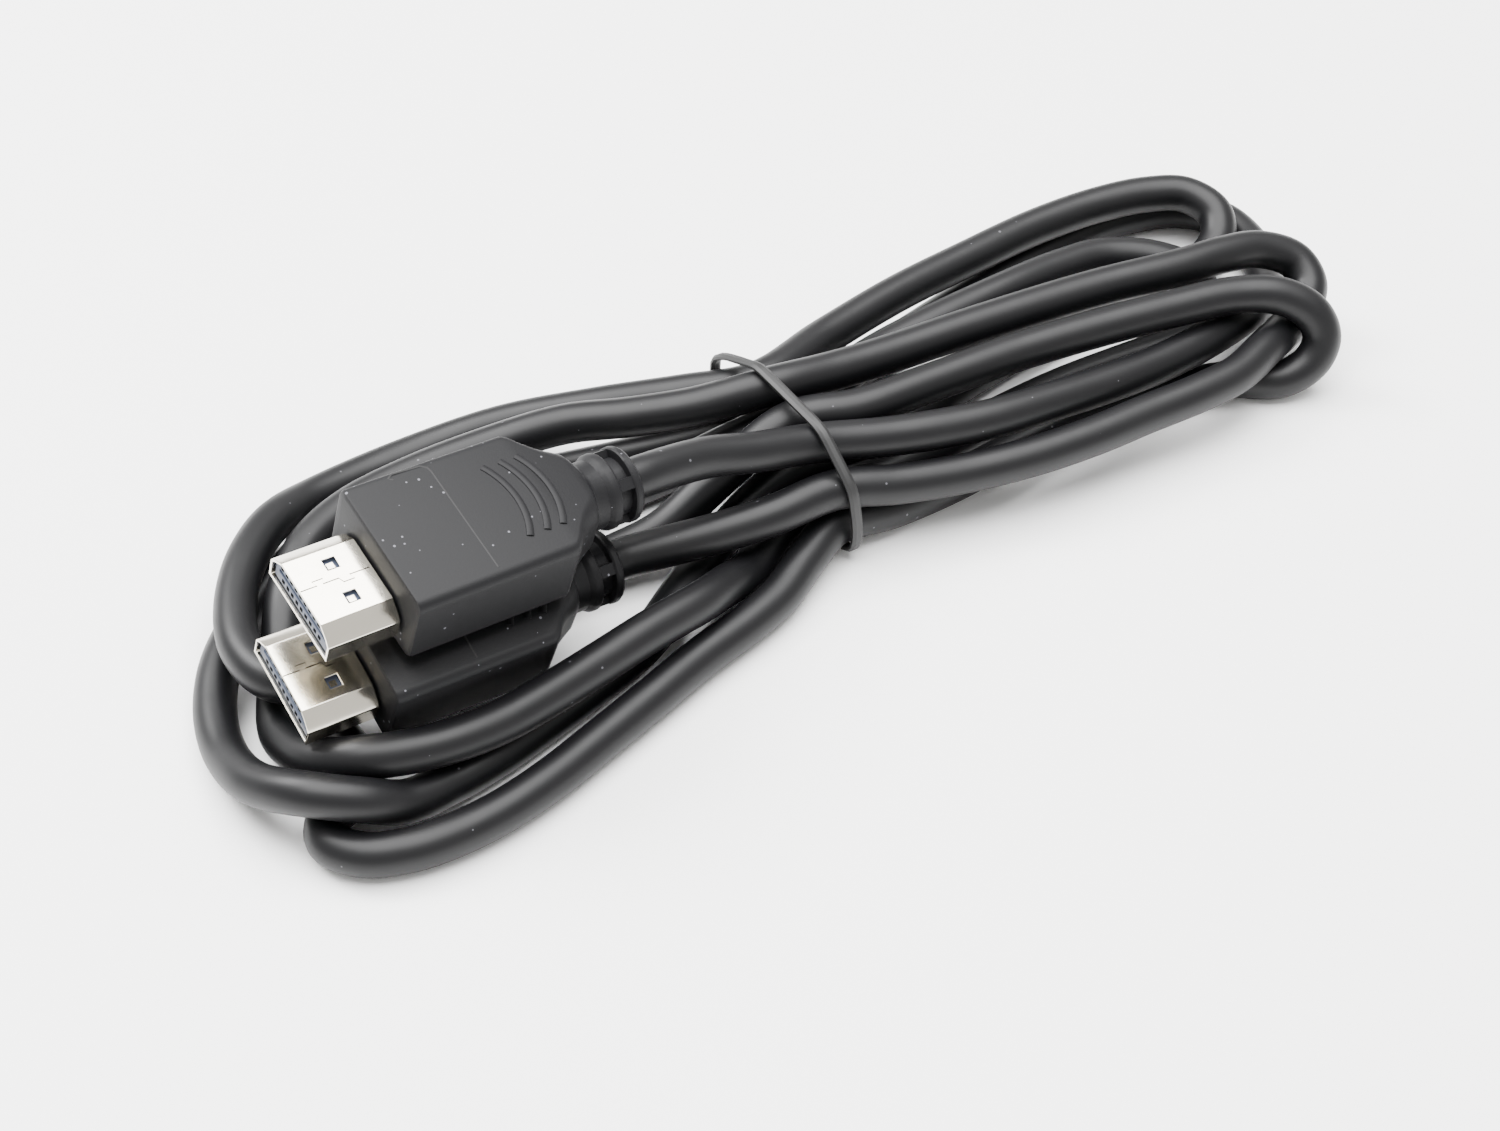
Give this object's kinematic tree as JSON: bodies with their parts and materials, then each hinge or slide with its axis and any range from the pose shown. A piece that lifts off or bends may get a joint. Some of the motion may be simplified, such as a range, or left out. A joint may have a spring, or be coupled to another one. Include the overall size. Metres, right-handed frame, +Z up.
{
  "type": "digital audio-video cable",
  "caption": "Round black cable folded into a flat hank and tied with a rubber band, with a moulded plug and metal shell at both ends.",
  "frame": {"origin": "centre of the hank's bounding box, on the surface it lies on", "axes": "+X along the hank away from the plugs, +Y to its back, +Z up from the table"},
  "size_m": [0.1744, 0.0702, 0.0331],
  "materials": {
    "cable_jacket": "satin",
    "plug_mould": "matte",
    "nickel_shell": "polished",
    "contact_insert": "satin",
    "rubber": "matte"
  },
  "bodies": {
    "root": {"cable": "cable_jacket", "upper_plug_grip": "plug_mould", "upper_plug_shell": "nickel_shell", "upper_plug_insert": "contact_insert", "lower_plug_grip": "plug_mould", "lower_plug_shell": "nickel_shell", "lower_plug_insert": "contact_insert", "rubber_band": "rubber"}
  },
  "joints": []
}
